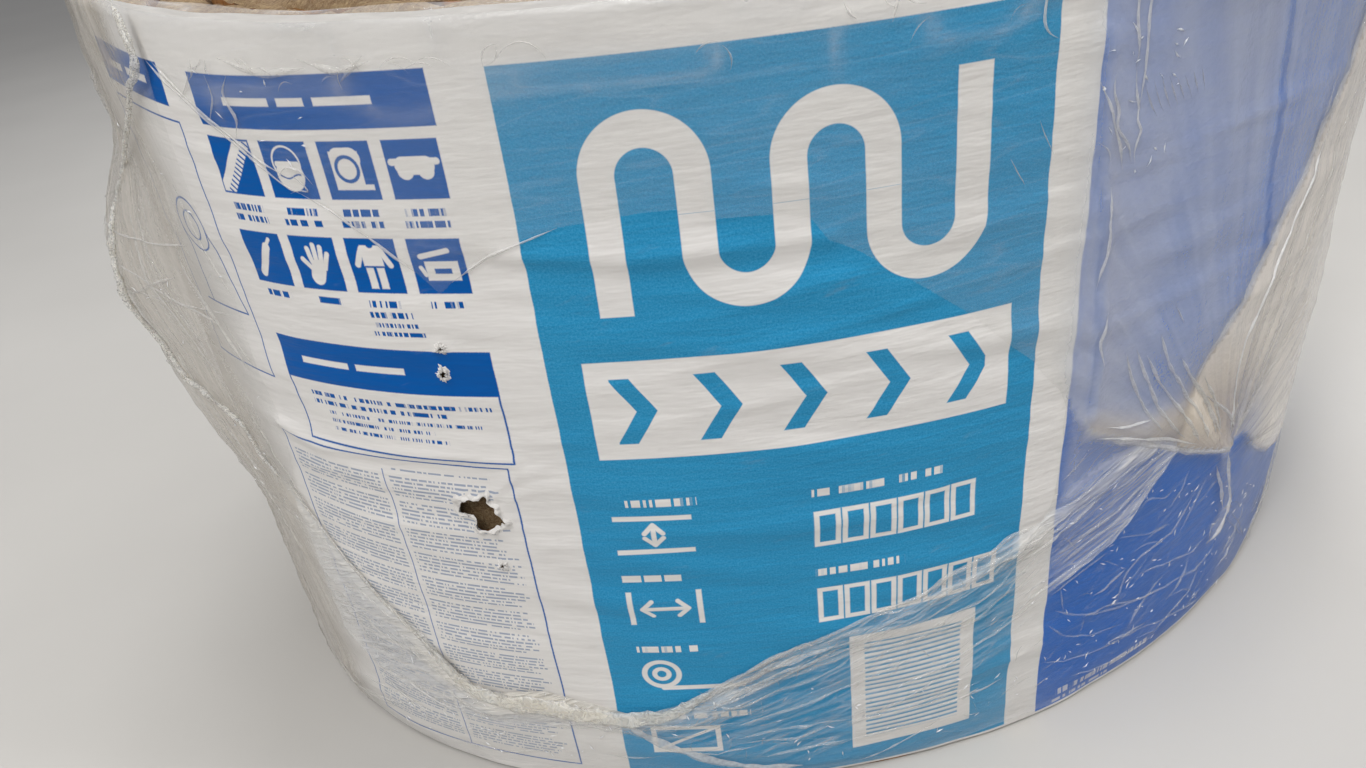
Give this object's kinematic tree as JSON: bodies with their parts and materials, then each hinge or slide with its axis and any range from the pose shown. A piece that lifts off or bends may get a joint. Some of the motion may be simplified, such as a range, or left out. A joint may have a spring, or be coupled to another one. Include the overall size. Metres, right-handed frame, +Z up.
{
  "type": "insulation roll",
  "caption": "Oval roll of kraft-faced glass wool batt standing on one end, in a printed film sleeve with clear stretch film over it.",
  "frame": {"origin": "centre of the bottom of the wound batt, on its bore's axis", "axes": "+Z up along the bore, +X along the long side of the oval, -Y towards the printed front"},
  "size_m": [0.725, 0.555, 0.381],
  "materials": {
    "glass_wool": "matte brown glass wool",
    "kraft_paper": "brown kraft paper",
    "printed_film": "white film printed in blue",
    "clear_film": "clear wrinkled stretch film"
  },
  "bodies": {
    "root": {"glass_wool_roll": "glass_wool", "kraft_facing": "kraft_paper", "printed_sleeve": "printed_film", "stretch_wrap": "clear_film"}
  },
  "joints": []
}
